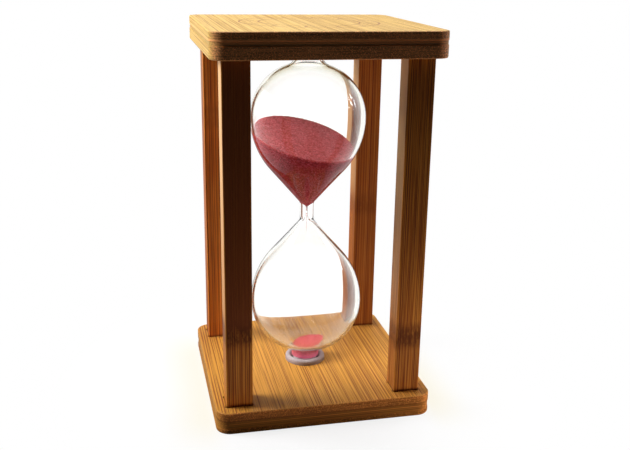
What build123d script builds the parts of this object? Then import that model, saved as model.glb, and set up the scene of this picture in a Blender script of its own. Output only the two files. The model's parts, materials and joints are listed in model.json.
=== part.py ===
from build123d import *

import math
import os

# Bamboo-framed hourglass: two laminated square plates, four mortised posts and a blown glass vessel.
# Millimetres, +Z up. The origin is the centre of the base plate's underside.
# The glass sets the height of the frame: the posts are cut to hold the vessel, its stoppers and its
# seats between the two plates.

# Plates: square boards glued up from three bamboo plies
plate_side = 92.0
plate_corner_radius = 6.0
plate_edge_easing = 0.5
top_inner_ply = 4.9
top_core_ply = 1.9
top_outer_ply = 3.5
base_inner_ply = 3.9
base_core_ply = 3.4
base_outer_ply = 2.0
core_setback = 0.2  # the core's sanded edge lies this far behind the face plies

# Posts: square-cut bamboo strips, glued into routed blind mortises
post_width = 11.0  # along X
post_depth = 10.0  # along Y
post_inset_x = 4.5  # from the plate's side edge to the post
post_inset_y = 5.7  # from the plate's front or back edge to the post
post_arris_radius = 0.4
mortise_depth = 6.0
mortise_clearance = 0.1
router_bit_diameter = 3.0  # its round cut overruns each corner of a mortise

# Glass: one blown tube, drawn in at the neck and left at its own diameter at both ends
glass_wall = 1.2
bulb_radius = 24.8
shoulder_radius = 34.2
shoulder_angle = 41.0  # half angle of the cone that leads to the neck
dome_radius = 23.2
neck_radius = 3.0
neck_half_length = 4.0  # from the neck's centre to where its side would meet the cone
neck_flare_radius = 2.5
orifice_radius = 0.5
funnel_flare_radius = 3.0
stub_radius = 6.3
stub_length = 6.8
stub_flare_radius = 3.0
rim_radius = 0.45

# Stoppers: silicone plugs that close the two ends of the tube
stopper_head = 1.2
stopper_depth = 2.0
stopper_clearance = 0.05
stopper_chamfer = 0.4

# Seat rings: soft rings round the ends of the tube, let into the plates
ring_width = 2.4
ring_rise = 2.2  # above the face of the plate
ring_rounding = 1.1
ring_clearance = 0.3
recess_depth = 1.5
recess_clearance = 0.15

# Sand: the surface leans as it was left when the hourglass was stood up
sand_clearance = 0.15
upper_sand_height = 32.13  # on the axis, above the neck's centre
upper_sand_tilt = 16.6
upper_sand_heading = -49.4  # compass of the downhill side, from +X towards +Y
lower_sand_height = 5.29  # on the axis, above the stopper
lower_sand_tilt = 9.8
lower_sand_heading = 194.1

# Places that follow from the sizes
top_plies = {
    "top_inner_ply": top_inner_ply,
    "top_core_ply": top_core_ply,
    "top_outer_ply": top_outer_ply,
}
base_plies = {
    "base_inner_ply": base_inner_ply,
    "base_core_ply": base_core_ply,
    "base_outer_ply": base_outer_ply,
}
cone = math.radians(shoulder_angle)
shoulder_centre = bulb_radius - shoulder_radius
dome_centre = bulb_radius - dome_radius
cone_end = shoulder_centre + shoulder_radius * math.cos(cone)
equator = neck_half_length + (cone_end - neck_radius) / math.tan(cone) + shoulder_radius * math.sin(cone)
bore_radius = stub_radius - glass_wall
ring_bore = stub_radius + ring_clearance
ring_radius = ring_bore + ring_width


def dome_meets(radius, offset):
    """Height above the neck's centre at which the dome, moved in by offset, meets a tube of that radius."""
    return equator + math.sqrt((dome_radius - offset) ** 2 - (radius - dome_centre) ** 2)


def cone_meets(radius, offset):
    """Height above the neck's centre at which the cone, moved in by offset, meets a tube of that radius."""
    return neck_half_length + (radius - neck_radius + offset / math.cos(cone)) / math.tan(cone)


glass_end = dome_meets(stub_radius, 0) + stub_length
spigot_end = glass_end - stopper_depth
seat_floor = glass_end + stopper_head
half_clear = seat_floor - recess_depth
base_face = sum(base_plies.values())
neck_height = base_face + half_clear
top_face = neck_height + half_clear
post_x = plate_side / 2 - post_inset_x - post_width / 2
post_y = plate_side / 2 - post_inset_y - post_depth / 2
corners = {"front_left": (-1, -1), "front_right": (1, -1), "back_left": (-1, 1), "back_right": (1, 1)}


def bulb_edges(offset, neck, stub, end):
    """One bulb's outline, from the neck's centre to the end of its stub, moved in by offset."""
    cone_foot = cone_meets(neck, offset)
    shoulder = shoulder_radius - offset
    cone_head = (shoulder_centre + shoulder * math.cos(cone), equator - shoulder * math.sin(cone))
    dome = dome_radius - offset
    dome_sweep = math.degrees(math.acos((stub - dome_centre) / dome))
    return [
        Line((neck, 0), (neck, cone_foot)),
        Line((neck, cone_foot), cone_head),
        CenterArc((shoulder_centre, equator), shoulder, -shoulder_angle, shoulder_angle),
        CenterArc((dome_centre, equator), dome, 0, dome_sweep),
        Line((stub, dome_meets(stub, offset)), (stub, end)),
    ]


def turned(face):
    """The solid that a face in the XZ plane sweeps round the Z axis."""
    return revolve(Plane.XZ * face, Axis.Z)


def rounded(face, places):
    """The face with the corner nearest each (radius, height) rounded by its own radius."""
    for place, radius in places:
        corner = face.vertices().sort_by_distance((*place, 0))[0]
        face = fillet(corner, radius)
    return face


def glass_vessel():
    """Both bulbs and the neck, one wall of blown glass, open at its two ends."""
    outside = bulb_edges(0, neck_radius, stub_radius, glass_end)
    inside = bulb_edges(glass_wall, orifice_radius, bore_radius, glass_end)
    section = make_face(outside + inside + [
        Line((orifice_radius, 0), (neck_radius, 0)),
        Line((bore_radius, glass_end), (stub_radius, glass_end)),
    ])
    rim = min(rim_radius, 0.45 * glass_wall)
    section = rounded(section, [
        ((neck_radius, cone_meets(neck_radius, 0)), neck_flare_radius),
        ((orifice_radius, cone_meets(orifice_radius, glass_wall)), funnel_flare_radius),
        ((stub_radius, dome_meets(stub_radius, 0)), stub_flare_radius),
        ((bore_radius, dome_meets(bore_radius, glass_wall)), stub_flare_radius + glass_wall),
        ((bore_radius, glass_end), rim),
        ((stub_radius, glass_end), rim),
    ])
    upper = turned(section)
    return Pos(0, 0, neck_height) * (upper + mirror(upper, Plane.XY))


def bulb_filling():
    """All the room for sand in one bulb, above the neck's centre, clear of the glass."""
    offset = glass_wall + sand_clearance
    neck = orifice_radius - sand_clearance
    stub = bore_radius - sand_clearance
    end = spigot_end - sand_clearance
    section = make_face(bulb_edges(offset, neck, stub, end) + [
        Line((0, 0), (neck, 0)),
        Line((0, 0), (0, end)),
        Line((0, end), (stub, end)),
    ])
    section = rounded(section, [
        ((neck, cone_meets(neck, offset)), funnel_flare_radius + sand_clearance),
        ((stub, dome_meets(stub, offset)), stub_flare_radius + offset),
    ])
    return turned(section)


def below(solid, height, tilt, heading):
    """The part of a solid under a plane that crosses the axis at height and falls towards heading."""
    lean = math.radians(tilt)
    way = math.radians(heading)
    up = (math.sin(lean) * math.cos(way), math.sin(lean) * math.sin(way), math.cos(lean))
    return split(solid, Plane((0, 0, height), z_dir=up), Keep.BOTTOM)


def upper_sand():
    """The sand still to run, in the upper bulb's funnel and down into the orifice."""
    sand = below(bulb_filling(), upper_sand_height, upper_sand_tilt, upper_sand_heading)
    return Pos(0, 0, neck_height) * sand


def lower_sand():
    """The sand that has run through, in the lower stub and the foot of the dome."""
    surface = lower_sand_height - spigot_end
    sand = below(mirror(bulb_filling(), Plane.XY), surface, lower_sand_tilt, lower_sand_heading)
    return Pos(0, 0, neck_height) * sand


def stopper():
    """A plug with a flat head, for the upper end of the tube, with the neck's centre at the origin."""
    spigot = bore_radius - stopper_clearance
    head = extrude(Plane.XY.offset(glass_end) * Circle(stub_radius), stopper_head)
    plug = extrude(Plane.XY.offset(spigot_end) * Circle(spigot), stopper_depth)
    plug = chamfer(plug.edges().group_by(Axis.Z)[0], stopper_chamfer)
    return head + plug


def seat_ring():
    """A soft ring for the upper end of the tube, with the neck's centre at the origin."""
    low = half_clear - ring_rise
    tube = Plane.XY.offset(low) * (Circle(ring_radius) - Circle(ring_bore))
    ring = extrude(tube, ring_rise + recess_depth)
    return fillet(ring.edges().group_by(Axis.Z)[0], min(ring_rounding, 0.45 * ring_width))


def upper(piece):
    """A piece of the upper end, moved from the neck's centre to its height."""
    return Pos(0, 0, neck_height) * piece


def lower(piece):
    """The same piece turned over for the lower end."""
    return Pos(0, 0, neck_height) * mirror(piece, Plane.XY)


def mortise():
    """A mortise's outline: the post with its clearance, and the round overrun of the bit at each corner."""
    half_width = post_width / 2 + mortise_clearance
    half_depth = post_depth / 2 + mortise_clearance
    bit = router_bit_diameter / 2
    outline = Rectangle(2 * half_width, 2 * half_depth)
    for across, along in corners.values():
        centre = (across * (half_width - bit / math.sqrt(2)), along * (half_depth - bit / math.sqrt(2)))
        outline += Pos(*centre) * Circle(bit)
    return outline


def plate_cuts(face, outward):
    """The mortises and the seat's recess, cut into a plate from its inner face at height face."""
    plane = Plane((0, 0, face), z_dir=(0, 0, outward), x_dir=(1, 0, 0))
    cuts = [extrude(plane * Circle(ring_radius + recess_clearance), recess_depth)]
    for across, along in corners.values():
        cuts.append(extrude(plane * Pos(across * post_x, along * post_y) * mortise(), mortise_depth))
    return cuts


def plate(plies, face, outward):
    """A plate's plies, by name, stacked outwards from the inner face at height face."""
    cuts = plate_cuts(face, outward)
    made = {}
    depth = 0.0
    for place, (name, thickness) in enumerate(plies.items()):
        setback = core_setback if place == 1 else 0.0
        side = plate_side - 2 * setback
        start = Plane((0, 0, face + outward * depth), z_dir=(0, 0, outward), x_dir=(1, 0, 0))
        board = extrude(start * RectangleRounded(side, side, plate_corner_radius - setback), thickness)
        easing = min(plate_edge_easing, 0.45 * thickness)
        if place != 1:
            outer_side = place == len(plies) - 1
            levels = board.edges().group_by(Axis.Z)
            shown = levels[-1] if outer_side == (outward > 0) else levels[0]
            board = fillet(shown, easing)
        made[name] = board - cuts
        depth += thickness
    return made


def post(across, along):
    """One post, seated on the floors of its two mortises."""
    foot = base_face - mortise_depth
    length = top_face - base_face + 2 * mortise_depth
    bar = extrude(Plane.XY.offset(foot) * Rectangle(post_width, post_depth), length)
    bar = fillet(bar.edges().filter_by(Axis.Z), post_arris_radius)
    return Pos(across * post_x, along * post_y) * bar


def build():
    """Every piece of the hourglass, by the name of its node."""
    pieces = {}
    pieces.update(plate(top_plies, top_face, 1))
    pieces.update(plate(base_plies, base_face, -1))
    for name, (across, along) in corners.items():
        pieces["post_" + name] = post(across, along)
    pieces["glass_vessel"] = glass_vessel()
    pieces["upper_stopper"] = upper(stopper())
    pieces["lower_stopper"] = lower(stopper())
    pieces["upper_seat_ring"] = upper(seat_ring())
    pieces["lower_seat_ring"] = lower(seat_ring())
    pieces["upper_sand"] = upper_sand()
    pieces["lower_sand"] = lower_sand()
    return pieces


os.makedirs("parts", exist_ok=True)
for node, piece in build().items():
    export_step(piece, f"parts/{node}.step")
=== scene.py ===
import json
import math
import random

import bpy
from bpy.props import FloatProperty, FloatVectorProperty, IntProperty, PointerProperty
from mathutils import Matrix, Vector

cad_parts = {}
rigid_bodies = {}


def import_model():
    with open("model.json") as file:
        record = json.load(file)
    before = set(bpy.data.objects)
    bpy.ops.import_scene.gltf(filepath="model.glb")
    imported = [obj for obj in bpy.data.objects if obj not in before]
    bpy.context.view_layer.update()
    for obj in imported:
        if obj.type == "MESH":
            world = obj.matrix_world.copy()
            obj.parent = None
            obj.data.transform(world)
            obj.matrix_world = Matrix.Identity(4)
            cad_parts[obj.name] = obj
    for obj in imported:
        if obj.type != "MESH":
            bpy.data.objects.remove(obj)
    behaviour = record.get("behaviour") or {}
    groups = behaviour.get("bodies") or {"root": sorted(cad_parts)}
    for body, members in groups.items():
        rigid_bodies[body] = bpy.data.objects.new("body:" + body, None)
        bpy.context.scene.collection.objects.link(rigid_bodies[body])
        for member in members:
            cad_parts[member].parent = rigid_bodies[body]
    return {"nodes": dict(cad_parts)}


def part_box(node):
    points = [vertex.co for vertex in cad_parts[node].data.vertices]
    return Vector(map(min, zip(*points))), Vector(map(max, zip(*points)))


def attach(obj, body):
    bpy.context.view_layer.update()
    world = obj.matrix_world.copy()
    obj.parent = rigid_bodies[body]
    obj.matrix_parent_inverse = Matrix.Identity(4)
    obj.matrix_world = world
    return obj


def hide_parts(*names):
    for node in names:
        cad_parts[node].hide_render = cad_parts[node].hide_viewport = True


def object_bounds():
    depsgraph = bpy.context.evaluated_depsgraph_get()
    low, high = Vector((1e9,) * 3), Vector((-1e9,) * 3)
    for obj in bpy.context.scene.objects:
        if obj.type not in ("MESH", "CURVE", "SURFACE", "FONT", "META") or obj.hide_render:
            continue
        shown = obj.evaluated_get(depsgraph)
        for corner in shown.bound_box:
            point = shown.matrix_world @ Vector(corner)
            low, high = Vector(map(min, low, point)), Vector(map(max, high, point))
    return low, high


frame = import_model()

bl_info = {
    "name": "Bamboo hourglass",
    "version": (1, 0, 0),
    "blender": (4, 5, 0),
    "location": "View3D > Sidebar > Hourglass",
    "description": "Finishes a bamboo-framed hourglass: grain, blown glass, dyed sand, seats and a studio",
    "category": "Object",
}

MM = 0.001
BODY = "root"
CAD_LOW, CAD_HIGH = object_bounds()
GLASS_LOW, GLASS_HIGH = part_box("glass_vessel")
NECK_HEIGHT = (GLASS_LOW.z + GLASS_HIGH.z) / 2
HALF_GLASS = (GLASS_HIGH.z - GLASS_LOW.z) / 2
PLATE_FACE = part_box("base_inner_ply")[1].z
STOPPER_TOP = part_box("lower_stopper")[1].z

# Points closer than this are merged.
WELD = 0.002 * MM

# The materials count in millimetres. Each plate has rounded corners, and its sides are straight up to them.
PLATE_CORNER = 6.0
STRAIGHT = CAD_HIGH.y / MM - PLATE_CORNER

# The ring of hour marks: its two circles and the ends of the ticks between them.
HOURS = 12
CIRCLES = (21.0, 29.0)
TICK_ENDS = (23.0, 27.0)

# How far the seams between strips lie off the axis, in strips, and the step to a strip's second draw.
SEAM_SHIFT = 0.37
SECOND_DRAW = 41.0

FACE_PLIES = ("top_outer_ply", "top_inner_ply", "base_inner_ply", "base_outer_ply")
CORE_PLIES = ("top_core_ply", "base_core_ply")
SEATS = ("upper_seat_ring", "lower_seat_ring", "upper_stopper", "lower_stopper")

# How wide the strips are, how fine and dark their thick fibres are, how fine the hair lines are across and
# along the grain and how dark, and how much lighter the whole is.
PLATE_GRAIN = {
    "strip": 9.0, "fibres": 1.2, "dark": 1.35, "fine": 2.0, "streaks": 0.012, "hair": 0.50, "lift": 0.34}
FRONT_GRAIN = {
    "strip": 5.2, "fibres": 1.3, "dark": 1.7, "fine": 2.6, "streaks": 0.03, "hair": 0.60, "lift": 0.43}
BACK_GRAIN = {
    "strip": 5.2, "fibres": 1.0, "dark": 1.0, "fine": 3.9, "streaks": 0.02, "hair": 0.30, "lift": 0.22}

# Each post's tone, the height of its culm joint and how dark that is, how dark its front is above the joint,
# the painted shade on its front below the joint and on its sides, and the painted sheen and light on its
# sides, low and high.
POST_LOOKS = {
    "post_front_left": {
        "grain": FRONT_GRAIN, "tone": (1.03, 1.03, 1.03), "joint": 42.0, "joint_dark": 0.95, "upper": 0.90,
        "painted_front_shade": (1.0, 1.0, 1.0), "painted_side_shade": (1.0, 1.0, 1.0), "sanded": (1.44, 1.44)},
    "post_front_right": {
        "grain": FRONT_GRAIN, "tone": (0.92, 0.90, 0.92), "joint": 35.0, "joint_dark": 0.75, "upper": 0.05,
        "painted_front_shade": (0.74, 0.71, 0.78), "painted_side_shade": (0.69, 0.65, 0.70), "sanded": (0.38, 1.50)},
    "post_back_left": {
        "grain": BACK_GRAIN, "tone": (1.55, 1.38, 1.55), "joint": 118.0, "joint_dark": 0.25, "upper": 0.0,
        "painted_front_shade": (1.0, 1.0, 1.0), "painted_side_shade": (0.51, 0.46, 0.60), "sanded": (0.38, 0.38)},
    "post_back_right": {
        "grain": BACK_GRAIN, "tone": (0.86, 0.74, 0.86), "joint": 73.0, "joint_dark": 0.30, "upper": 0.10,
        "painted_front_shade": (0.83, 0.81, 0.86), "painted_side_shade": (1.0, 1.0, 1.0), "sanded": (1.50, 1.50)},
}


class Signal:
    """A node's output. Sums of signals become Math nodes, and node() adds a node of any other kind."""

    def __init__(self, tree, socket=None):
        self.tree = tree
        self.socket = socket

    def node(self, kind, settings=None, sockets=None, output=0):
        """A new node of that kind: its settings first, then the values or links of its sockets."""
        made = self.tree.nodes.new(kind)
        for name, value in (settings or {}).items():
            if name == "stops":
                set_stops(made.color_ramp, value)
            else:
                setattr(made, name, value)
        for name, value in (sockets or {}).items():
            if isinstance(value, Signal):
                self.tree.links.new(value.socket, made.inputs[name])
            else:
                made.inputs[name].default_value = value
        return Signal(self.tree, made.outputs[output] if made.outputs else None)

    def output(self, name):
        """Another output of the node that this signal comes from."""
        return Signal(self.tree, self.socket.node.outputs[name])

    def calc(self, operation, *values):
        """A Math node on the values, which are signals or numbers."""
        return self.node("ShaderNodeMath", {"operation": operation}, dict(enumerate(values)))

    def band(self, low, high):
        """0 below low and 1 above high, with a smooth step between."""
        settings = {"interpolation_type": "SMOOTHSTEP"}
        sockets = {"Value": self, "From Min": low, "From Max": high}
        return self.node("ShaderNodeMapRange", settings, sockets)

    def most(self, other):
        """The larger of two values at each point."""
        return self.calc("MAXIMUM", self, other)

    def mix(self, first, second, blend="MIX"):
        """The first colour where this signal is 0, the second where it is 1."""
        settings = {"data_type": "RGBA", "blend_type": blend}
        return self.node("ShaderNodeMix", settings, {0: self, 6: first, 7: second}, output=2)

    def stain(self, colour, tone):
        """The colour where this signal is 0, the colour times the tone where it is 1."""
        return self.mix(colour, tone, blend="MULTIPLY")

    def __add__(self, other):
        return self.calc("ADD", self, other)

    def __sub__(self, other):
        return self.calc("SUBTRACT", self, other)

    def __rsub__(self, other):
        return self.calc("SUBTRACT", other, self)

    def __mul__(self, other):
        return self.calc("MULTIPLY", self, other)

    def __truediv__(self, other):
        return self.calc("DIVIDE", self, other)

    def __abs__(self):
        return self.calc("ABSOLUTE", self)

    __radd__ = __add__
    __rmul__ = __mul__


def set_stops(ramp, stops):
    """Gives a colour ramp its stops, each a place and a colour."""
    while len(ramp.elements) < len(stops):
        ramp.elements.new(1.0)
    for element, (place, colour) in zip(ramp.elements, stops):
        element.position = place
        element.color = colour


def solid(colour):
    """A colour property as a socket's four numbers."""
    return (colour[0], colour[1], colour[2], 1.0)


def new_finish(name):
    """An empty node material, and a signal to add its nodes with."""
    material = bpy.data.materials.new(name)
    material.use_nodes = True
    material.node_tree.nodes.clear()
    return material, Signal(material.node_tree)


def show(shader):
    """Makes the shader the surface of its material."""
    shader.node("ShaderNodeOutputMaterial", {}, {"Surface": shader})


def coat_piece(piece, material):
    """Puts one material on the whole piece."""
    piece.data.materials.clear()
    piece.data.materials.append(material)


def millimetres(start):
    """The object's own X, Y and Z at each point, in millimetres."""
    place = start.node("ShaderNodeTexCoord", output="Object")
    split = start.node("ShaderNodeSeparateXYZ", {}, {0: place})
    return [split.output(axis) / MM for axis in "XYZ"]


def from_axis(x, y):
    """The distance from the object's upright axis."""
    square = x * x + y * y
    return square.calc("SQRT", square)


def join_xyz(x, y, z):
    """A vector of three values, of which the first is a signal."""
    return x.node("ShaderNodeCombineXYZ", {}, {0: x, 1: y, 2: z})


def noise(x, y, z, detail=2.0, roughness=0.5):
    """Noise from 0 to 1 at a place that is already scaled."""
    sockets = {"Vector": join_xyz(x, y, z), "Scale": 1.0, "Detail": detail, "Roughness": roughness}
    return x.node("ShaderNodeTexNoise", {"noise_dimensions": "3D"}, sockets)


def grain_cells(x, y, z):
    """The distance from the nearest of many scattered points, at a place that is already scaled."""
    return x.node("ShaderNodeTexVoronoi", {"feature": "F1"}, {"Vector": join_xyz(x, y, z), "Scale": 1.0})


def chance(value):
    """A random number from 0 to 1 for each whole value."""
    return value.node("ShaderNodeTexWhiteNoise", {"noise_dimensions": "1D"}, {"W": value})


def bamboo(name, finish, shades, along, grain, shine, end=None, post=None, line=None, ring=False):
    """Strip bamboo with its grain along one axis.

    shades are its light, body and dark colours. end is the colour of the cut ends at the rims of a plate.
    post is the name of the post, where the piece is one. line is the height of a thin line and its colour,
    which on the top plate is a painted highlight, and ring burns a plain ring of hour marks.
    """
    material, start = new_finish(name)
    axes = millimetres(start)
    length = axes[along]
    across, depth = [axes[axis] for axis in range(3) if axis != along]
    light, body, dark = [solid(shade) for shade in shades]
    place = across / grain["strip"] + SEAM_SHIFT
    row = place.calc("FLOOR", place)
    strip_tone = chance(row)
    strip_shift = chance(row + SECOND_DRAW)
    sway = noise(across * 0.12, length * 0.018, depth * 0.12, detail=1.0)

    def fibres(fineness, edge):
        """Thin dark fibres along the grain, some stronger than others."""
        place = (across + depth * 0.8 + sway * 0.9 + strip_shift * 7.0) * fineness
        lines = start.node("ShaderNodeTexVoronoi", {"voronoi_dimensions": "1D"}, {"W": place, "Scale": 1.0})
        strength = start.node("ShaderNodeSeparateColor", {}, {0: lines.output("Color")})
        return (1.0 - lines.band(0.04, edge)) * (strength * 0.75 + 0.25)

    broken = noise(across * 0.9, length * 0.045, depth * 0.9, detail=1.0).band(0.36, 0.62)
    strong = fibres(grain["fibres"], edge=0.23) * (broken * 0.75 + 0.25)
    faint = fibres(fineness=2.3, edge=0.40)
    run = length * grain["streaks"] + strip_shift * 9.0
    hair = noise(across * grain["fine"], run, depth * grain["fine"], detail=1.0).band(0.34, 0.66)
    cloud = noise(across * 0.09, length * 0.03, depth * 0.09, detail=1.0)
    blend = strong * grain["dark"] + faint * 0.62 + hair * grain["hair"] + cloud * 0.30
    blend = blend + strip_tone * 0.14 - grain["lift"]
    stops = [(0.05, light), (0.32, body), (0.92, dark)]
    colour = blend.node("ShaderNodeValToRGB", {"stops": stops}, {0: blend})
    worn = cloud.band(0.35, 0.6) * 0.45
    if end is not None:
        colour = cut_ends(axes, across, depth, end, colour, worn, light)
    if post is not None:
        colour = post_marks(axes, post, finish, shades, colour, worn)
    height = hair * -0.4 - faint * 0.4 - strong * 0.7
    # A thin line along the ply; on the top outer ply it is a painted highlight along the lower edge.
    if line is not None:
        thin = 1.0 - abs(axes[2] - line[0]).band(0.25, 0.45)
        colour = (thin * 0.7).mix(colour, solid(line[1]))
    if ring:
        burnt = hour_ring(axes[0], axes[1])
        colour = (burnt * 0.85).mix(colour, solid(finish.burnt))
        height = height - burnt * 3.0
    bump = start.node("ShaderNodeBump", {}, {"Strength": 0.35, "Distance": 0.12 * MM, "Height": height})
    rough = finish.roughness + hair * 0.10 + strong * 0.10
    shader = start.node("ShaderNodeBsdfPrincipled", {}, {
        "Base Color": colour, "Roughness": rough, "Normal": bump, "Specular IOR Level": shine})
    show(shader)
    return material


def cut_ends(axes, across, depth, end, colour, worn, light):
    """A plate's colour with the sawn ends of its fibres at the front and back rims, and worn edges."""
    layers = noise(across * 0.05, 0.0, depth * 2.1)
    dots = noise(across * 2.2, 0.0, depth * 2.6)
    across_rim, along_rim = [abs(axis) - STRAIGHT for axis in axes[:2]]
    corner = join_xyz(across_rim.most(0.0), along_rim.most(0.0), 0.0)
    reach = corner.node("ShaderNodeVectorMath", {"operation": "LENGTH"}, {0: corner}, output="Value")
    cut = reach.band(5.2, 5.6) * along_rim.band(1.0, 5.5)
    mottle = (layers * 0.60 + dots * 0.40).band(0.32, 0.66).mix(solid(end * 0.90), solid(end * 0.36))
    bundles = grain_cells(across * 1.6, 0.0, depth * 1.9)
    mottle = (1.0 - bundles.band(0.18, 0.48)).mix(mottle, solid(end * 1.22))
    colour = cut.mix(colour, mottle)
    edge = reach.band(5.0, 5.5) * (1.0 - reach.band(5.7, 5.95))
    return (edge * worn).mix(colour, light)


def post_marks(axes, name, finish, shades, colour, worn):
    """A post's colour with its culm joint, its darker front, painted shade on its lower front and its sides,
    painted sheen and light on its sides, worn edges, and a dark foot of grime and painted shade.
    """
    look = POST_LOOKS[name]
    light, dark = shades[0], shades[2]
    low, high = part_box(name)
    centre = (low + high) / 2 / MM
    x, y, z = axes
    ripple = noise(x * 0.45, y * 0.45, look["joint"]) * 4.0
    beyond = z - look["joint"] + ripple - 2.0
    spots = noise(x * 1.5, z * 0.45, y * 1.5).band(0.34, 0.60)
    joint = (1.0 - abs(beyond).band(2.5, 7.5)) * (spots * 0.55 + 0.45) * look["joint_dark"]
    colour = joint.mix(colour, solid(dark * 0.6))
    front = 1.0 - (y - low.y / MM).band(0.3, 0.9)
    above = beyond.band(-1.0, 5.0)
    colour = (above * front * look["upper"]).mix(colour, solid(dark))
    # Painted shade on the front below the joint.
    colour = ((1.0 - above) * front).stain(colour, solid(look["painted_front_shade"]))
    # The sides: painted shade on some posts, then painted sheen and light, stronger above the joint and
    # towards the top.
    side = abs(x - centre.x).band(4.8, 5.2)
    flank = side * (1.0 - front)
    colour = flank.stain(colour, solid(look["painted_side_shade"]))
    sanded = flank * (beyond.band(-1.0, 12.0) * 0.30 + beyond.band(5.0, 95.0) * 0.45)
    painted_side_colour = z.band(95.0, 150.0).mix(*[solid(Vector(finish.side) * tone) for tone in look["sanded"]])
    colour = sanded.mix(colour, painted_side_colour)
    edge = side * abs(y - centre.y).band(4.4, 4.8)
    colour = (edge * worn).mix(colour, solid(light))
    # Darker at the foot, where the post meets the plate: grime, and painted shade of the joint.
    foot = z - PLATE_FACE / MM + ripple * 0.15
    return ((1.0 - foot.band(0.5, 1.6)) * 0.6).mix(colour, solid(dark * 0.5))


def hour_ring(x, y):
    """1 inside the lines of a plain ring of twelve hour marks, 0 elsewhere."""
    reach = from_axis(x, y)
    inner, outer = [1.0 - abs(reach - radius).band(0.25, 0.50) for radius in CIRCLES]
    turn = x.calc("ARCTAN2", y, x) / math.tau * HOURS
    side = abs(turn.calc("FRACT", turn) - 0.5)
    tick = 1.0 - (side * reach * math.tau / HOURS).band(0.45, 0.70)
    begun, ended = [reach.band(radius - 0.2, radius + 0.2) for radius in TICK_ENDS]
    return inner.most(outer).most(tick * begun * (1.0 - ended))


def clear_glass(settings):
    """Clear glass that lets light through to what is inside it."""
    material, start = new_finish("clear_glass")
    x, y, z = millimetres(start)
    haze = noise(x * 0.12, y * 0.12, z * 0.12).band(0.30, 0.70)
    low_down = 1.0 - z.band(26.0, 46.0)
    dust = low_down * (haze * 0.05 + 0.03)
    facing = start.node("ShaderNodeLayerWeight", {}, {"Blend": 0.35}, output="Facing")
    near_stub = abs(z - NECK_HEIGHT / MM).band(44.0, 60.0)
    thick = facing.band(0.25, 0.75) * near_stub
    tint = facing.band(0.45, 0.95).mix(solid(settings.colour), solid(settings.rim))
    tint = thick.mix(tint, solid(settings.ends))
    glass = start.node("ShaderNodeBsdfPrincipled", {}, {
        "Base Color": tint, "Roughness": dust, "IOR": settings.ior, "Transmission Weight": 1.0,
        "Specular Tint": (0.45, 0.45, 0.45, 1.0)})
    film = start.node("ShaderNodeBsdfDiffuse", {}, {"Color": (0.93, 0.90, 0.78, 1.0)})
    cover = dust * 0.5 + facing.band(0.45, 0.90) * 0.04
    dusty = start.node("ShaderNodeMixShader", {}, {0: cover, 1: glass, 2: film})
    clear = start.node("ShaderNodeBsdfTransparent", {}, {"Color": (0.93, 0.94, 0.93, 1.0)})
    shadow = start.node("ShaderNodeLightPath", output="Is Shadow Ray")
    both = start.node("ShaderNodeMixShader", {}, {0: shadow, 1: dusty, 2: clear})
    show(both)
    return material


def dyed_sand(settings):
    """Fine dyed sand: grains of three tints, with painted shade below its lit top and a painted glow low in
    the stub.
    """
    material, start = new_finish("dyed_sand")
    x, y, z = millimetres(start)
    grains = grain_cells(x / settings.grain, y / settings.grain, z / settings.grain)
    tint = start.node("ShaderNodeSeparateColor", {}, {0: grains.output("Color")})
    drift = noise(x * 0.35, y * 0.35, z * 0.35, detail=3.0)
    pick = tint * 0.65 + drift * 0.35
    stops = [(0.15, solid(settings.deep)), (0.5, solid(settings.body)), (0.88, solid(settings.pale))]
    colour = pick.node("ShaderNodeValToRGB", {"stops": stops}, {0: pick})
    downhill = x * math.cos(settings.upper_heading) + y * math.sin(settings.upper_heading)
    surface = (settings.upper_height + NECK_HEIGHT) / MM - downhill * math.tan(settings.upper_tilt)
    # Painted shade: the sand below its top surface is darkened, most strongly high in the upper bulb, faintly
    # lower down.
    under = (surface - z).band(0.3, 1.4)
    packed = under * (z.band(84.0, 108.0) * 0.9 + 0.1)
    colour = packed.stain(colour, solid(settings.packed))
    bump = start.node("ShaderNodeBump", {}, {"Strength": 0.5, "Distance": 0.2 * MM, "Height": 1.0 - grains})
    rough = 0.75 + tint.output("Green") * 0.2
    # Painted glow: the sand in the lower stub, and faintly in the heap, is given emission.
    in_stub = 1.0 - z.band(11.5, 14.5)
    in_heap = 1.0 - z.band(17.0, 20.0)
    glow = (in_stub * 0.80 + in_heap * 0.20).mix((0.0, 0.0, 0.0, 1.0), solid(settings.glow))
    shader = start.node("ShaderNodeBsdfPrincipled", {}, {
        "Base Color": colour, "Roughness": rough, "Normal": bump, "Specular IOR Level": 0.3,
        "Emission Color": glow, "Emission Strength": 0.50})
    show(shader)
    return material


def soft_silicone(settings):
    """White silicone with a faint mould texture."""
    material, start = new_finish("white_silicone")
    x, y, z = millimetres(start)
    dust = noise(x * 1.4, y * 1.4, z * 1.4, detail=4.0, roughness=0.6)
    colour = dust.band(0.35, 0.75).mix(solid(settings.colour), solid(settings.dust))
    bump = start.node("ShaderNodeBump", {}, {"Strength": 0.15, "Distance": 0.1 * MM, "Height": dust})
    shader = start.node("ShaderNodeBsdfPrincipled", {}, {
        "Base Color": colour, "Roughness": dust * 0.2 + 0.42, "Normal": bump,
        "Subsurface Weight": 0.25, "Subsurface Radius": (2 * MM, 2 * MM, 2 * MM)})
    show(shader)
    return material


def select_nothing():
    """Leaves no object selected, in object mode."""
    if bpy.context.object and bpy.context.object.mode != "OBJECT":
        bpy.ops.object.mode_set(mode="OBJECT")
    bpy.ops.object.select_all(action="DESELECT")


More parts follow.
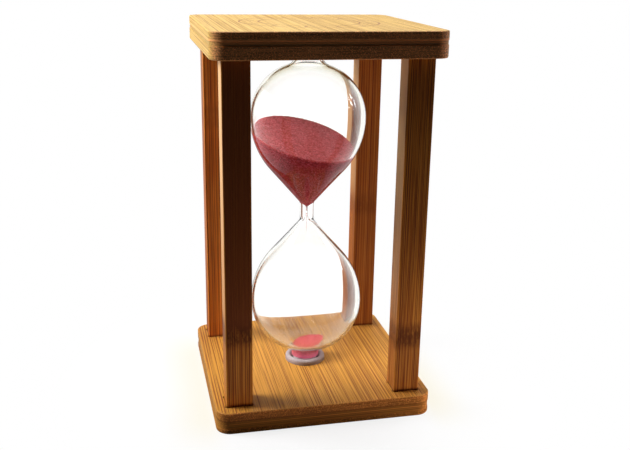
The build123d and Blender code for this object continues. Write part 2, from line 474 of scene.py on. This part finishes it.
class Outline:
    """One outline, drawn in the XZ plane of a new mesh and then spun round the Z axis."""

    def __init__(self, name, radius, height):
        select_nothing()
        bpy.ops.mesh.primitive_plane_add(size=MM)
        self.piece = bpy.context.object
        self.piece.name = name
        self.piece.data.name = name
        bpy.ops.object.mode_set(mode="EDIT")
        bpy.ops.mesh.select_mode(type="VERT")
        bpy.ops.mesh.select_all(action="SELECT")
        bpy.ops.mesh.merge(type="CENTER")
        bpy.ops.transform.translate(value=(radius, 0, height))
        self.at = Vector((radius, height))

    def run(self, radius, height):
        """A straight run to a point."""
        step = Vector((radius, height)) - self.at
        bpy.ops.mesh.extrude_vertices_move(TRANSFORM_OT_translate={"value": (step.x, 0, step.y)})
        self.at = Vector((radius, height))

    def arc(self, centre, sweep, steps):
        """An arc round a centre, anticlockwise in the drawing where sweep is positive."""
        bpy.ops.mesh.spin(steps=steps, angle=sweep, center=(centre[0], 0, centre[1]), axis=(0, 1, 0))
        self.at = Matrix.Rotation(sweep, 2) @ (self.at - Vector(centre)) + Vector(centre)

    def spin(self, steps):
        """Turns the outline into a closed shell round the Z axis."""
        bpy.ops.mesh.select_all(action="SELECT")
        bpy.ops.mesh.spin(steps=steps, angle=math.tau, center=(0, 0, 0), axis=(0, 0, 1))
        bpy.ops.mesh.select_all(action="SELECT")
        bpy.ops.mesh.remove_doubles(threshold=WELD)
        bpy.ops.mesh.normals_make_consistent(inside=False)


class BulbShape:
    """The arcs of one bulb, measured from the neck's centre and moved in from the outside by offset."""

    def __init__(self, sizes, offset, neck, stub):
        self.neck = neck
        self.stub = stub
        self.cone = sizes.shoulder_angle
        self.shoulder_centre = sizes.bulb_radius - sizes.shoulder_radius
        self.dome_centre = sizes.bulb_radius - sizes.dome_radius
        cone_end = self.shoulder_centre + sizes.shoulder_radius * math.cos(self.cone)
        rise = (cone_end - sizes.neck_radius) / math.tan(self.cone)
        self.equator = sizes.neck_half_length + rise + sizes.shoulder_radius * math.sin(self.cone)
        self.shoulder = sizes.shoulder_radius - offset
        self.dome = sizes.dome_radius - offset
        self.neck_flare = sizes.neck_flare if offset == 0 else sizes.funnel_flare + offset - sizes.wall
        self.stub_flare = sizes.stub_flare + offset
        slack = neck - sizes.neck_radius + offset / math.cos(self.cone)
        foot = sizes.neck_half_length + slack / math.tan(self.cone)
        self.neck_end = foot - self.neck_flare * math.tan(self.cone / 2)
        self.neck_pivot = (neck + self.neck_flare, self.neck_end)
        pivot = stub + self.stub_flare
        reach = self.dome + self.stub_flare
        pivot_height = self.equator + math.sqrt(reach ** 2 - (pivot - self.dome_centre) ** 2)
        self.stub_pivot = (pivot, pivot_height)
        self.dome_sweep = math.atan2(pivot_height - self.equator, pivot - self.dome_centre)

    def climb_to_equator(self, outline, steps):
        """From the neck up its flare, the cone and the shoulder."""
        outline.run(self.neck, self.neck_end)
        outline.arc(self.neck_pivot, -self.cone, steps)
        outline.run(self.shoulder_centre + self.shoulder * math.cos(self.cone),
                    self.equator - self.shoulder * math.sin(self.cone))
        outline.arc((self.shoulder_centre, self.equator), self.cone, 2 * steps)

    def climb_to_stub(self, outline, steps):
        """From the equator over the dome and its flare to the stub."""
        outline.arc((self.dome_centre, self.equator), self.dome_sweep, 2 * steps)
        outline.arc(self.stub_pivot, -self.dome_sweep, steps)

    def descend_to_equator(self, outline, steps):
        """The way back from the stub to the equator."""
        outline.run(self.stub, self.stub_pivot[1])
        outline.arc(self.stub_pivot, self.dome_sweep, steps)
        outline.arc((self.dome_centre, self.equator), -self.dome_sweep, 2 * steps)

    def descend_to_neck(self, outline, steps):
        """The way back from the equator to the neck's centre."""
        outline.arc((self.shoulder_centre, self.equator), -self.cone, 2 * steps)
        outline.run(self.neck_pivot[0] - self.neck_flare * math.cos(self.cone),
                    self.neck_end + self.neck_flare * math.sin(self.cone))
        outline.arc(self.neck_pivot, self.cone, steps)
        outline.run(self.neck, 0)


def apply_modifier(piece, kind, **settings):
    """Adds a modifier with its settings and applies it at once."""
    modifier = piece.modifiers.new(kind.title(), kind)
    for name, value in settings.items():
        setattr(modifier, name, value)
    bpy.ops.object.modifier_apply(modifier=modifier.name)


def settle(piece, material, slot, *nodes):
    """Finishes a new piece: smooth, coated, riding on the body and standing for its nodes."""
    select_nothing()
    piece.select_set(True)
    bpy.context.view_layer.objects.active = piece
    bpy.ops.object.shade_smooth()
    coat_piece(piece, material)
    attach(piece, BODY)
    if nodes:
        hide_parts(*nodes)


class GlassSizes(bpy.types.PropertyGroup):
    """Sizes of the blown glass vessel."""

    bulb_radius: FloatProperty(
        name="Bulb radius", description="Outside radius at the widest ring", unit="LENGTH",
        default=GLASS_HIGH.x)
    wall: FloatProperty(
        name="Wall", description="Thickness of the glass", unit="LENGTH", default=1.2 * MM)
    shoulder_radius: FloatProperty(
        name="Shoulder radius", description="Arc between the cone and the widest ring", unit="LENGTH",
        default=34.2 * MM)
    shoulder_angle: FloatProperty(
        name="Cone angle", description="Half angle of the cone above the neck", unit="ROTATION",
        default=math.radians(41.0))
    dome_radius: FloatProperty(
        name="Dome radius", description="Arc from the widest ring towards the stub", unit="LENGTH",
        default=23.2 * MM)
    neck_radius: FloatProperty(
        name="Neck radius", description="Outside radius of the drawn-in neck", unit="LENGTH",
        default=3.0 * MM)
    neck_half_length: FloatProperty(
        name="Neck half length", description="From the neck's centre to where it would meet the cone",
        unit="LENGTH", default=4.0 * MM)
    neck_flare: FloatProperty(
        name="Neck flare", description="Arc outside, between the neck and the cone", unit="LENGTH",
        default=2.5 * MM)
    orifice_radius: FloatProperty(
        name="Orifice radius", description="Radius of the hole that the sand runs through", unit="LENGTH",
        default=0.5 * MM)
    funnel_flare: FloatProperty(
        name="Funnel flare", description="Arc inside, between the orifice and the cone", unit="LENGTH",
        default=3.0 * MM)
    stub_radius: FloatProperty(
        name="Stub radius", description="Outside radius of the tube's two ends", unit="LENGTH",
        default=6.3 * MM)
    stub_flare: FloatProperty(
        name="Stub flare", description="Arc outside, between the dome and the stub", unit="LENGTH",
        default=3.0 * MM)
    arc_steps: IntProperty(
        name="Arc steps", description="Points along each arc of the outline", default=14)
    turn_steps: IntProperty(
        name="Turn steps", description="Faces round the vessel", default=128)
    ior: FloatProperty(name="IOR", description="How strongly the glass bends light", default=1.47)
    colour: FloatVectorProperty(
        name="Tint", description="Colour of the glass", subtype="COLOR", default=(0.99, 0.995, 0.985))
    rim: FloatVectorProperty(
        name="Rim tint", description="Colour of the glass seen along its wall", subtype="COLOR",
        default=(0.94, 0.93, 0.68))
    ends: FloatVectorProperty(
        name="End tint", description="Colour of the thicker glass near the stubs", subtype="COLOR",
        default=(0.94, 0.91, 0.72))


class BambooFinish(bpy.types.PropertyGroup):
    """Colours of the bamboo."""

    light: FloatVectorProperty(
        name="Light", description="Palest fibres of the posts", subtype="COLOR", default=(0.81, 0.35, 0.064))
    body: FloatVectorProperty(
        name="Body", description="Most of the wood of the posts", subtype="COLOR",
        default=(0.61, 0.212, 0.032))
    dark: FloatVectorProperty(
        name="Dark", description="Fibres, lines and joints", subtype="COLOR", default=(0.24, 0.068, 0.022))
    gold: FloatVectorProperty(
        name="Gold", description="Most of the wood of the plates", subtype="COLOR",
        default=(0.59, 0.275, 0.045))
    pale: FloatVectorProperty(
        name="Pale", description="Sun-bleached wood of the top plate", subtype="COLOR",
        default=(0.70, 0.455, 0.123))
    # The side colour is painted sheen and light on the posts' sides.
    side: FloatVectorProperty(
        name="Side", description="Sanded sides of the posts", subtype="COLOR", default=(0.66, 0.42, 0.20))
    burnt: FloatVectorProperty(
        name="Burnt", description="Burnt lines of the hour ring", subtype="COLOR",
        default=(0.30, 0.10, 0.03))
    top_end: FloatVectorProperty(
        name="Top rim", description="Cut ends at the rim of the top plate", subtype="COLOR",
        default=(0.95, 0.42, 0.16))
    base_end: FloatVectorProperty(
        name="Base rim", description="Cut ends at the rim of the base plate", subtype="COLOR",
        default=(0.64, 0.245, 0.060))
    roughness: FloatProperty(
        name="Roughness", description="Roughness of the sealed surface", subtype="FACTOR", default=0.42)
    core_tone: FloatProperty(
        name="Core tone", description="Brightness of the core plies", subtype="FACTOR", default=0.8)
    post_tone: FloatProperty(
        name="Post tone", description="Brightness of the posts", subtype="FACTOR", default=0.85)


class SandFinish(bpy.types.PropertyGroup):
    """Levels and colours of the sand."""

    gap: FloatProperty(
        name="Gap", description="Room between the sand and the stopper and orifice", unit="LENGTH",
        default=0.15 * MM)
    contact: FloatProperty(
        name="Contact", description="Overlap with the glass, so that no film of air shows between them",
        unit="LENGTH", default=0.20 * MM)
    upper_height: FloatProperty(
        name="Upper level", description="Surface on the axis, above the neck's centre", unit="LENGTH",
        default=32.13 * MM)
    upper_tilt: FloatProperty(
        name="Upper tilt", description="Lean of the upper surface", unit="ROTATION",
        default=math.radians(16.6))
    upper_heading: FloatProperty(
        name="Upper heading", description="Downhill side of the upper surface, from +X", unit="ROTATION",
        default=math.radians(-49.4))
    lower_height: FloatProperty(
        name="Lower level", description="Surface on the axis, above the stopper", unit="LENGTH",
        default=5.29 * MM)
    lower_tilt: FloatProperty(
        name="Lower tilt", description="Lean of the lower surface", unit="ROTATION",
        default=math.radians(9.8))
    lower_heading: FloatProperty(
        name="Lower heading", description="Downhill side of the lower surface, from +X", unit="ROTATION",
        default=math.radians(194.1))
    grain: FloatProperty(
        name="Grain", description="Size of a grain in the finish, in millimetres", default=0.38)
    falling: IntProperty(
        name="Falling grains", description="Grains in the stream below the orifice", default=34)
    body: FloatVectorProperty(
        name="Body", description="Most of the grains", subtype="COLOR", default=(0.385, 0.030, 0.030))
    deep: FloatVectorProperty(
        name="Deep", description="Darkest grains", subtype="COLOR", default=(0.19, 0.012, 0.014))
    pale: FloatVectorProperty(
        name="Pale", description="Palest grains", subtype="COLOR", default=(0.61, 0.118, 0.138))
    # The glow is painted light, given as emission to the sand low in the stub and in the heap.
    glow: FloatVectorProperty(
        name="Glow", description="Light scattered in the sand of the lower stub", subtype="COLOR",
        default=(0.60, 0.14, 0.25))
    # Painted shade on the sand below its lit top surface.
    packed: FloatVectorProperty(
        name="Packed", description="What is left of the colour where the sand lies against the glass",
        subtype="COLOR", default=(0.71, 0.38, 0.49))


class SeatFinish(bpy.types.PropertyGroup):
    """Colours of the silicone seats and stoppers."""

    colour: FloatVectorProperty(
        name="Colour", description="Clean silicone", subtype="COLOR", default=(0.47, 0.40, 0.42))
    dust: FloatVectorProperty(
        name="Dust", description="Where dust clings", subtype="COLOR", default=(0.34, 0.27, 0.27))


class StudioSettings(bpy.types.PropertyGroup):
    """Camera and light."""

    camera_place: FloatVectorProperty(
        name="Camera place", description="Where the camera stands", subtype="TRANSLATION", unit="LENGTH",
        default=(-77.85 * MM, -357.7 * MM, 188.4 * MM))
    camera_yaw: FloatProperty(
        name="Camera yaw", description="Turn to the right, from +Y", unit="ROTATION", default=0.2246)
    camera_pitch: FloatProperty(
        name="Camera pitch", description="Tilt down", unit="ROTATION", default=0.3034)
    camera_roll: FloatProperty(
        name="Camera roll", description="Lean of the frame", unit="ROTATION", default=0.0159)
    camera_lens: FloatProperty(
        name="Lens", description="Focal length in millimetres on a 36 mm sensor", default=49.36)
    key_power: FloatProperty(
        name="Key power", description="Window light from behind on the left", unit="POWER", default=5.6)
    top_power: FloatProperty(
        name="Top power", description="Soft light from above", unit="POWER", default=3.0)
    card_power: FloatProperty(
        name="Card power", description="Glow of the table in front", unit="POWER", default=0.043)
    side_power: FloatProperty(
        name="Side power", description="Weak strip light at the right side", unit="POWER", default=0.15)
    edge_power: FloatProperty(
        name="Edge power", description="Glow of the table at the right corner", unit="POWER", default=0.036)
    left_power: FloatProperty(
        name="Left power", description="Weak card at the left side", unit="POWER", default=0.12)
    pane_power: FloatProperty(
        name="Pane power", description="One pane of the window that the glass mirrors", unit="POWER",
        default=0.24)
    warm_colour: FloatVectorProperty(
        name="Warm colour", description="Colour of the warm bounced light", subtype="COLOR",
        default=(1.0, 0.88, 0.72))
    ambient: FloatProperty(name="Ambient", description="Light of the room", default=0.004)
    fill_colour: FloatVectorProperty(
        name="Fill colour", description="Colour of the weak lights", subtype="COLOR",
        default=(1.0, 0.76, 0.66))
    floor_colour: FloatVectorProperty(
        name="Floor", description="Colour of the floor", subtype="COLOR", default=(0.90, 0.90, 0.92))
    bounce_colour: FloatVectorProperty(
        name="Bounce", description="Light that the base throws on the floor beside it", subtype="COLOR",
        default=(1.0, 0.965, 0.84))


def aim(place, target):
    """The turn of a lamp at place that looks at target."""
    return (Vector(target) - Vector(place)).to_track_quat("-Z", "Y").to_euler()


def add_panel(name, place, target, size, power, colour=(1.0, 1.0, 1.0), shows=True):
    """A soft rectangular lamp."""
    bpy.ops.object.light_add(type="AREA", location=place, rotation=aim(place, target))
    panel = bpy.context.object
    panel.name = name
    panel.data.shape = "RECTANGLE"
    panel.data.size, panel.data.size_y = size
    panel.data.energy = power
    panel.data.color = colour
    panel.visible_camera = False
    panel.visible_glossy = shows
    panel.visible_transmission = False
    return panel


def ray_kinds(start):
    """1 for rays from the camera, rays through glass and rays off a mirror, 0 for all other light."""
    path = start.node("ShaderNodeLightPath")
    through = path.output("Is Transmission Ray")
    mirror = path.output("Is Glossy Ray")
    return path.output("Is Camera Ray"), through, mirror * (1.0 - through)


class HOURGLASS_OT_stage(bpy.types.Operator):
    """Sets up the camera, the floor, the lamps and the white room"""

    bl_idname = "hourglass.stage"
    bl_label = "Set the stage"

    def execute(self, context):
        studio = context.scene.hourglass_studio
        context.scene.view_settings.view_transform = "Standard"
        self.add_camera(context, studio)
        self.add_floor(studio)
        self.light_room(context, studio)
        select_nothing()
        add_panel("key_panel", place=(-0.54, 0.17, 0.46), target=(0, 0, 0.08), size=(0.30, 0.34),
                  power=studio.key_power)
        add_panel("top_panel", place=(0.05, 0.14, 0.72), target=(0, 0, 0.10), size=(0.45, 0.45),
                  power=studio.top_power)
        add_panel("table_glow", place=(0.045, -0.085, 0.001), target=(0.045, -0.085, 0.5), size=(0.20, 0.04),
                  power=studio.card_power, colour=studio.fill_colour, shows=False)
        add_panel("table_edge", place=(0.098, -0.070, 0.004), target=(0.045, -0.046, 0.006),
                  size=(0.05, 0.006), power=studio.edge_power, colour=studio.warm_colour, shows=False)
        add_panel("left_card", place=(-0.28, -0.01, 0.10), target=(0, 0, 0.10), size=(0.05, 0.12),
                  power=studio.left_power, colour=studio.warm_colour, shows=False)
        add_panel("right_strip", place=(0.24, -0.035, 0.13), target=(0, 0.02, 0.09), size=(0.03, 0.14),
                  power=studio.side_power, colour=studio.fill_colour, shows=False)
        for number, sideways in enumerate((-0.088, -0.010, 0.068), start=1):
            pane = add_panel("window_pane_" + str(number), place=(0.40, sideways, 0.248), target=(0, 0, 0.13),
                             size=(0.012, 0.13), power=studio.pane_power)
            pane.visible_diffuse = False
        return {"FINISHED"}

    def add_camera(self, context, studio):
        """The camera, turned by its yaw and pitch and then leaned by its roll."""
        select_nothing()
        bpy.ops.object.camera_add(location=studio.camera_place)
        camera = bpy.context.object
        yaw, pitch = studio.camera_yaw, studio.camera_pitch
        ahead = Vector((math.sin(yaw) * math.cos(pitch), math.cos(yaw) * math.cos(pitch), -math.sin(pitch)))
        side = Vector((math.cos(yaw), -math.sin(yaw), 0))
        above = side.cross(ahead)
        turn = Matrix((side, above, -ahead)).transposed()
        lean = Matrix.Rotation(studio.camera_roll, 3, "Z")
        camera.rotation_euler = (turn @ lean).to_euler()
        camera.data.lens = studio.camera_lens
        camera.data.sensor_width = 36.0
        camera.data.clip_start = 0.01
        context.scene.camera = camera

    def add_floor(self, studio):
        """A white table that keeps the object's shadow and a warm bounce beside the base."""
        select_nothing()
        bpy.ops.mesh.primitive_circle_add(vertices=96, radius=0.6, fill_type="NGON")
        floor = bpy.context.object
        floor.name = "floor"
        material, start = new_finish("white_table")
        camera, through, mirror = ray_kinds(start)
        x, y = millimetres(start)[:2]
        near = (1.0 - from_axis(x, y).band(50.0, 115.0)) * (1.0 - x.band(10.0, 60.0) * 0.6) * 0.18
        shade = start.node("ShaderNodeBsdfDiffuse", {}, {"Color": solid(studio.floor_colour)})
        back = y.band(-60.0, 20.0)
        beside = abs(x)
        mirrored = mirror * (back * 0.20 + beside.band(35.0, 100.0) * 0.7)
        white = camera + through * (back * 0.46 + 0.70) + mirrored
        warm = beside.band(40.0, 50.0) * (1.0 - beside.band(48.0, 70.0)) * (1.0 - abs(y).band(30.0, 65.0))
        white = warm.stain(white, solid(studio.bounce_colour))
        glow = start.node("ShaderNodeEmission", {}, {"Color": white, "Strength": 1.0})
        shown = start.node("ShaderNodeMixShader", {}, {0: near, 1: glow, 2: shade})
        bounce = start.node("ShaderNodeBsdfDiffuse", {}, {"Color": (0.03, 0.03, 0.03, 1.0)})
        seen = camera + through + mirror
        both = start.node("ShaderNodeMixShader", {}, {0: seen, 1: bounce, 2: shown})
        show(both)
        coat_piece(floor, material)

    def light_room(self, context, studio):
        """A room that shows white to the camera and the glass, and gives little light of its own."""
        world = bpy.data.worlds.new("white_room")
        context.scene.world = world
        world.use_nodes = True
        world.node_tree.nodes.clear()
        start = Signal(world.node_tree)
        camera, through, mirror = ray_kinds(start)
        place = start.node("ShaderNodeTexCoord", output="Generated")
        toward = start.node("ShaderNodeSeparateXYZ", {}, {0: place})
        behind = (toward.output("Y") + toward.output("Z") * 0.25).band(0.05, 0.45)
        right = toward.output("X").band(0.25, 0.85) * (1.0 - behind)
        white = camera + through * (behind * 0.45 + right * 0.28 + 0.70) + mirror * (behind * 0.60 + 0.30)
        room = start.node("ShaderNodeBackground", {}, {"Color": (1, 1, 1, 1), "Strength": studio.ambient})
        backdrop = start.node("ShaderNodeBackground", {}, {"Color": white, "Strength": 1.0})
        both = start.node("ShaderNodeMixShader", {}, {0: camera + through + mirror, 1: room, 2: backdrop})
        start.node("ShaderNodeOutputWorld", {}, {"Surface": both})


class HOURGLASS_OT_plates(bpy.types.Operator):
    """Finishes the plies of the two plates"""

    bl_idname = "hourglass.plates"
    bl_label = "Finish the plates"

    # How bright the thin line low on a ply is against its rim, and how bright a rim is against the others.
    # On the top outer ply the line is a painted highlight along its lower edge.
    lined = {"top_outer_ply": 1.5, "base_inner_ply": 0.35}
    rim_tones = {"top_outer_ply": 0.85}
    line_height = 0.35
    light_tone = 1.12
    top_fading = 0.3

    def execute(self, context):
        finish = context.scene.hourglass_bamboo
        for name in FACE_PLIES + CORE_PLIES:
            top = name.startswith("top")
            core = name in CORE_PLIES
            body = Vector(finish.pale if top else finish.gold) * (finish.core_tone if core else 1.0)
            dark = Vector(finish.dark).lerp(body, self.top_fading if top else 0.0)
            shades = (body * self.light_tone, body, dark)
            end = Vector(finish.top_end if top else finish.base_end) * self.rim_tones.get(name, 1.0)
            line = None
            if name in self.lined:
                line = (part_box(name)[0].z / MM + self.line_height, end * self.lined[name])
            ply = bamboo("bamboo_" + name, finish, shades, along=0 if core else 1, grain=PLATE_GRAIN,
                         shine=0.12, end=end, line=line, ring=name == "top_outer_ply")
            coat_piece(frame["nodes"][name], ply)
        return {"FINISHED"}


class HOURGLASS_OT_posts(bpy.types.Operator):
    """Finishes the four posts, each with its own culm joint"""

    bl_idname = "hourglass.posts"
    bl_label = "Finish the posts"

    def execute(self, context):
        finish = context.scene.hourglass_bamboo
        for name, look in POST_LOOKS.items():
            tone = Vector(look["tone"]) * finish.post_tone
            colours = [Vector(part) * tone for part in (finish.light, finish.body, finish.dark)]
            material = bamboo("bamboo_" + name, finish, colours, along=2, grain=look["grain"], shine=0.10,
                              post=name)
            coat_piece(frame["nodes"][name], material)
        return {"FINISHED"}


class HOURGLASS_OT_glass(bpy.types.Operator):
    """Blows the glass vessel: one wall, spun round its axis and mirrored at the neck"""

    bl_idname = "hourglass.glass"
    bl_label = "Blow the glass"

    def execute(self, context):
        sizes = context.scene.hourglass_glass
        outside = BulbShape(sizes, 0, sizes.neck_radius, sizes.stub_radius)
        inside = BulbShape(sizes, sizes.wall, sizes.orifice_radius, sizes.stub_radius - sizes.wall)
        steps = sizes.arc_steps
        half_wall = sizes.wall / 2
        outline = Outline("blown_vessel", sizes.neck_radius, 0)
        outside.climb_to_equator(outline, steps)
        outside.climb_to_stub(outline, steps)
        outline.run(sizes.stub_radius, HALF_GLASS - half_wall)
        outline.arc((sizes.stub_radius - half_wall, HALF_GLASS - half_wall), math.pi, steps=8)
        inside.descend_to_equator(outline, steps)
        inside.descend_to_neck(outline, steps)
        outline.spin(sizes.turn_steps)
        bpy.ops.object.mode_set(mode="OBJECT")
        apply_modifier(outline.piece, "MIRROR", use_axis=(False, False, True), merge_threshold=WELD)
        bpy.ops.object.mode_set(mode="EDIT")
        bpy.ops.mesh.select_all(action="SELECT")
        bpy.ops.mesh.normals_make_consistent(inside=False)
        bpy.ops.transform.translate(value=(0, 0, NECK_HEIGHT))
        bpy.ops.object.mode_set(mode="OBJECT")
        settle(outline.piece, clear_glass(sizes), "clear_glass", "glass_vessel")
        return {"FINISHED"}


class HOURGLASS_OT_seats(bpy.types.Operator):
    """Finishes the silicone rings and stoppers"""

    bl_idname = "hourglass.seats"
    bl_label = "Finish the seats"

    def execute(self, context):
        material = soft_silicone(context.scene.hourglass_seats)
        for name in SEATS:
            coat_piece(frame["nodes"][name], material)
        return {"FINISHED"}


class HOURGLASS_OT_sand(bpy.types.Operator):
    """Pours the sand: the bulb's filling, cut at its leaning surface and roughened by its grains"""

    bl_idname = "hourglass.sand"
    bl_label = "Pour the sand"

    # The cells of the even mesh of each sand, and the grit on its surface.
    upper_cell = 0.42 * MM
    lower_cell = 0.22 * MM
    grit_size = 1.1 * MM
    grit_height = 0.16 * MM

    def execute(self, context):
        sizes = context.scene.hourglass_glass
        sand = context.scene.hourglass_sand
        material = dyed_sand(sand)
        offset = sizes.wall - sand.contact
        shape = BulbShape(sizes, offset, sizes.orifice_radius - sand.gap, sizes.stub_radius - offset)

        upper = Outline("upper_sand_bed", 0, 0)
        upper.run(shape.neck, 0)
        shape.climb_to_equator(upper, sizes.arc_steps)
        upper.run(0, shape.equator)
        upper.spin(sizes.turn_steps)
        self.level(sand.upper_height, sand.upper_tilt, sand.upper_heading)
        self.finish(upper.piece, self.upper_cell, material, "upper_sand")

        floor = STOPPER_TOP + sand.gap - NECK_HEIGHT
        lower = Outline("lower_sand_heap", 0, shape.equator)
        lower.run(sizes.bulb_radius - offset, shape.equator)
        shape.climb_to_stub(lower, sizes.arc_steps)
        lower.run(shape.stub, -floor)
        lower.run(0, -floor)
        lower.spin(sizes.turn_steps)
        bpy.ops.transform.resize(value=(1, 1, -1), center_override=(0, 0, 0))
        bpy.ops.mesh.normals_make_consistent(inside=False)
        level = STOPPER_TOP + sand.lower_height - NECK_HEIGHT
        self.level(level, sand.lower_tilt, sand.lower_heading)
        self.finish(lower.piece, self.lower_cell, material, "lower_sand")
        return {"FINISHED"}

    def level(self, height, tilt, heading):
        """Cuts the filling at the leaning surface and keeps what is below."""
        up = (math.sin(tilt) * math.cos(heading), math.sin(tilt) * math.sin(heading), math.cos(tilt))
        bpy.ops.mesh.select_all(action="SELECT")
        bpy.ops.mesh.bisect(plane_co=(0, 0, height), plane_no=up, use_fill=True, clear_outer=True)

    def finish(self, piece, cell, material, node):
        """Lifts the sand to its place, gives it an even mesh and a surface of grains."""
        bpy.ops.mesh.select_all(action="SELECT")
        bpy.ops.transform.translate(value=(0, 0, NECK_HEIGHT))
        bpy.ops.object.mode_set(mode="OBJECT")
        apply_modifier(piece, "REMESH", mode="VOXEL", voxel_size=cell)
        self.drop_crumbs(piece)
        grit = bpy.data.textures.new(piece.name + "_grit", type="CLOUDS")
        grit.noise_scale = self.grit_size
        grit.noise_depth = 2
        apply_modifier(piece, "DISPLACE", texture=grit, texture_coords="LOCAL", strength=self.grit_height,
                       mid_level=0.62)
        settle(piece, material, "pink_sand", node)

    def drop_crumbs(self, piece):
        """Deletes the loose specks that the even mesh leaves at a thin edge."""
        lowest = min(piece.data.vertices, key=lambda point: point.co.z).index
        bpy.ops.object.mode_set(mode="EDIT")
        bpy.ops.mesh.select_mode(type="VERT")
        bpy.ops.mesh.select_all(action="DESELECT")
        bpy.ops.object.mode_set(mode="OBJECT")
        piece.data.vertices[lowest].select = True
        bpy.ops.object.mode_set(mode="EDIT")
        bpy.ops.mesh.select_linked()
        bpy.ops.mesh.select_all(action="INVERT")
        bpy.ops.mesh.delete(type="VERT")
        bpy.ops.object.mode_set(mode="OBJECT")


class HOURGLASS_OT_grains(bpy.types.Operator):
    """Drops the grains that are falling from the orifice"""

    bl_idname = "hourglass.grains"
    bl_label = "Drop the grains"

    # The stream starts below the neck's centre. Its grains fall faster and drift apart on their way down.
    start_depth = 0.8 * MM
    first_step = 0.0135 * MM
    gain = 1.85
    stream_radius = 0.08 * MM
    widening = 0.010
    grain_radius = 0.11 * MM
    seed = 7

    def execute(self, context):
        sand = context.scene.hourglass_sand
        draw = random.Random(self.seed)
        select_nothing()
        bpy.ops.mesh.primitive_ico_sphere_add(subdivisions=2, radius=self.grain_radius)
        first = bpy.context.object
        first.name = "falling_grains"
        apply_modifier(first, "DECIMATE", ratio=0.6)
        grains = [first]
        while len(grains) < sand.falling:
            grain = first.copy()
            grain.data = first.data.copy()
            context.collection.objects.link(grain)
            grains.append(grain)
        for number, grain in enumerate(grains):
            fall = self.first_step * number ** self.gain
            spread = self.stream_radius + self.widening * fall
            height = NECK_HEIGHT - self.start_depth - fall
            grain.location = (draw.uniform(-spread, spread), draw.uniform(-spread, spread), height)
            grain.rotation_euler = [draw.uniform(0, math.tau) for _ in range(3)]
            grain.scale = [draw.uniform(0.7, 1.15) for _ in range(3)]
            grain.select_set(True)
        context.view_layer.objects.active = first
        bpy.ops.object.transform_apply(location=True, rotation=True, scale=True)
        bpy.ops.object.join()
        settle(first, bpy.data.materials["dyed_sand"], "pink_sand")
        return {"FINISHED"}


class HOURGLASS_PT_sidebar(bpy.types.Panel):
    """Lists the steps that make the hourglass"""

    bl_label = "Hourglass"
    bl_idname = "HOURGLASS_PT_sidebar"
    bl_space_type = "VIEW_3D"
    bl_region_type = "UI"
    bl_category = "Hourglass"

    def draw(self, context):
        for step in STEPS:
            self.layout.operator(step.bl_idname)
        for name in GROUPS:
            box = self.layout.box()
            group = getattr(context.scene, name)
            for key in group.bl_rna.properties.keys():
                if key not in {"rna_type", "name"}:
                    box.prop(group, key)


STEPS = (HOURGLASS_OT_stage, HOURGLASS_OT_plates, HOURGLASS_OT_posts, HOURGLASS_OT_glass, HOURGLASS_OT_seats,
         HOURGLASS_OT_sand, HOURGLASS_OT_grains)
GROUPS = {"hourglass_glass": GlassSizes, "hourglass_bamboo": BambooFinish, "hourglass_sand": SandFinish,
          "hourglass_seats": SeatFinish, "hourglass_studio": StudioSettings}
CLASSES = (*GROUPS.values(), *STEPS, HOURGLASS_PT_sidebar)


def register():
    """Adds the classes and hangs the settings on the scene."""
    for made in CLASSES:
        bpy.utils.register_class(made)
    for name, group in GROUPS.items():
        setattr(bpy.types.Scene, name, PointerProperty(type=group))


def unregister():
    """Takes the settings and the classes away again."""
    for name in GROUPS:
        delattr(bpy.types.Scene, name)
    for made in reversed(CLASSES):
        bpy.utils.unregister_class(made)


def main():
    """Makes every piece in order."""
    register()
    bpy.ops.hourglass.stage()
    bpy.ops.hourglass.plates()
    bpy.ops.hourglass.posts()
    bpy.ops.hourglass.glass()
    bpy.ops.hourglass.seats()
    bpy.ops.hourglass.sand()
    bpy.ops.hourglass.grains()


if __name__ == "__main__":
    main()
